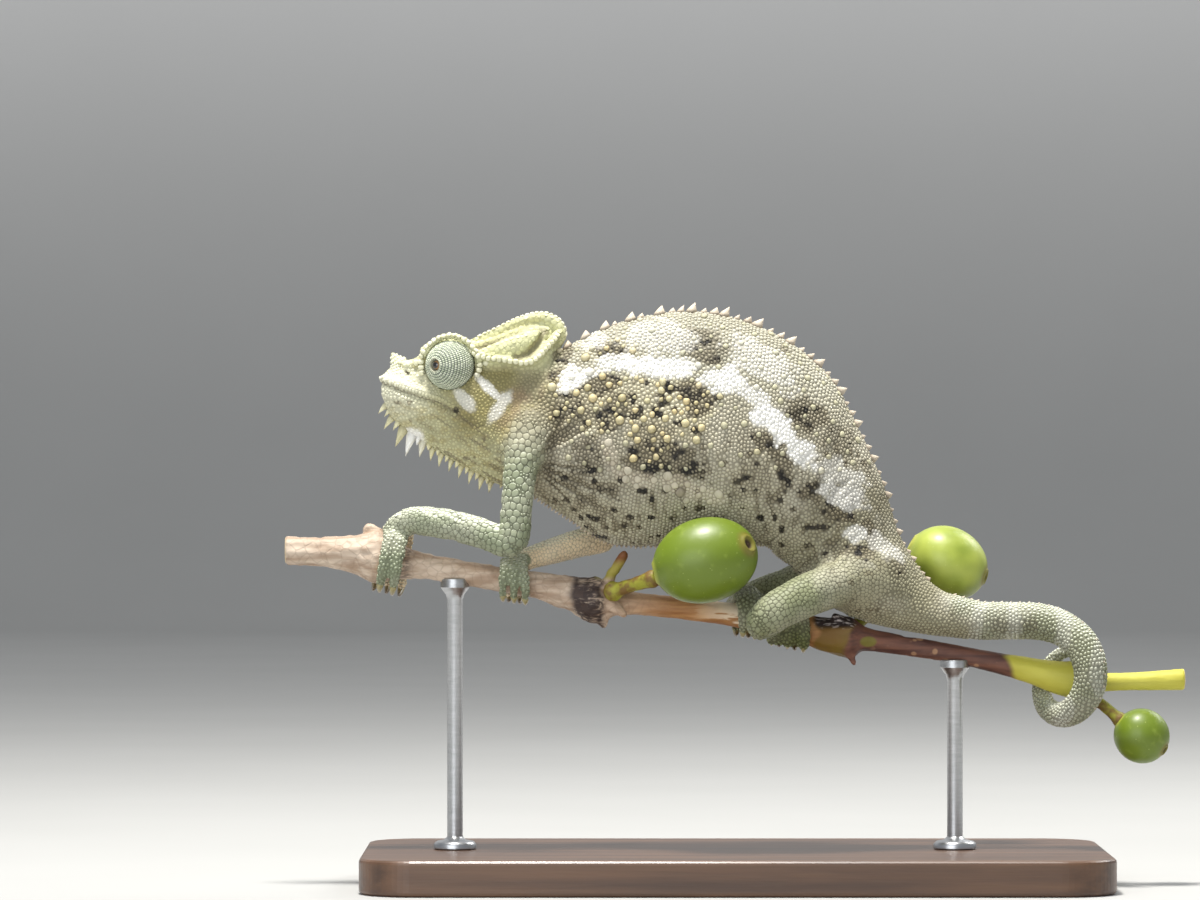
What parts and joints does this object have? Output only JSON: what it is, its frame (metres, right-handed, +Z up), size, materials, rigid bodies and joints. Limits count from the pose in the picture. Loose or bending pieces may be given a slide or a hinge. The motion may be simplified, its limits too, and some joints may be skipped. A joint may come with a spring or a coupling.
{
  "type": "chameleon display model",
  "caption": "Life-size still model of a high-casqued mountain chameleon gripping a cut coffee twig with green cherries, on a plain wooden base with steel rods.",
  "frame": {"origin": "middle of the stand's flat underside", "axes": "+X along the twig from the animal's head to its tail, +Y to the animal's right, +Z up from the base"},
  "size_m": [0.1262, 0.052, 0.0818],
  "materials": {
    "head_skin": "dry scaly skin, matt, pale yellow-green",
    "throat_skin": "dry scaly skin, matt, olive yellow",
    "body_skin": "dry scaly skin, matt, grey-white with dark brown blotches",
    "limb_skin": "dry scaly skin, matt, grey-green",
    "tail_skin": "dry scaly skin, matt, grey with faint bands",
    "eye_skin": "fine ringed scales on the eye turret",
    "eyeball": "wet and glossy, dark pupil",
    "horn": "dry pale horn scales",
    "claw": "translucent brown horn",
    "bark": "rough grey-brown bark that turns purple-brown and then yellow-green towards the tip",
    "cherry": "smooth unripe fruit, waxy green",
    "stalk": "green stalk",
    "base_wood": "dark stained, satin",
    "rod_steel": "satin steel"
  },
  "bodies": {
    "root": {"cherry_behind_tail": "cherry", "cherry_small": "cherry", "cherry_under_belly": "cherry", "claw_foot_left_inner_1": "claw", "claw_foot_left_inner_2": "claw", "claw_foot_left_outer_1": "claw", "claw_foot_left_outer_2": "claw", "claw_foot_left_outer_3": "claw", "claw_foot_right_inner_1": "claw", "claw_foot_right_inner_2": "claw", "claw_foot_right_outer_1": "claw", "claw_foot_right_outer_2": "claw", "claw_foot_right_outer_3": "claw", "claw_hand_left_inner_1": "claw", "claw_hand_left_inner_2": "claw", "claw_hand_left_inner_3": "claw", "claw_hand_left_outer_1": "claw", "claw_hand_left_outer_2": "claw", "claw_hand_right_inner_1": "claw", "claw_hand_right_inner_2": "claw", "claw_hand_right_inner_3": "claw", "claw_hand_right_outer_1": "claw", "claw_hand_right_outer_2": "claw", "eye_turret_left": "eye_skin", "eye_turret_right": "eye_skin", "eyeball_left": "eyeball", "eyeball_right": "eyeball", "foot_left": "limb_skin", "foot_right": "limb_skin", "forearm_left": "limb_skin", "forearm_right": "limb_skin", "hand_left": "limb_skin", "hand_right": "limb_skin", "head": "head_skin", "lower_jaw": "throat_skin", "neck": "body_skin", "perch_twig": "bark", "rostral_horn": "horn", "shin_left": "limb_skin", "shin_right": "limb_skin", "stalk_behind_tail": "stalk", "stalk_small": "stalk", "stalk_under_belly": "stalk", "stand_base": "base_wood", "stand_rod_front": "rod_steel", "stand_rod_rear": "rod_steel", "tail_bend": "tail_skin", "tail_curl": "tail_skin", "tail_middle": "tail_skin", "tail_root": "tail_skin", "tail_tip": "tail_skin", "thigh_left": "limb_skin", "thigh_right": "limb_skin", "trunk": "body_skin", "upper_arm_left": "limb_skin", "upper_arm_right": "limb_skin"}
  },
  "joints": []
}
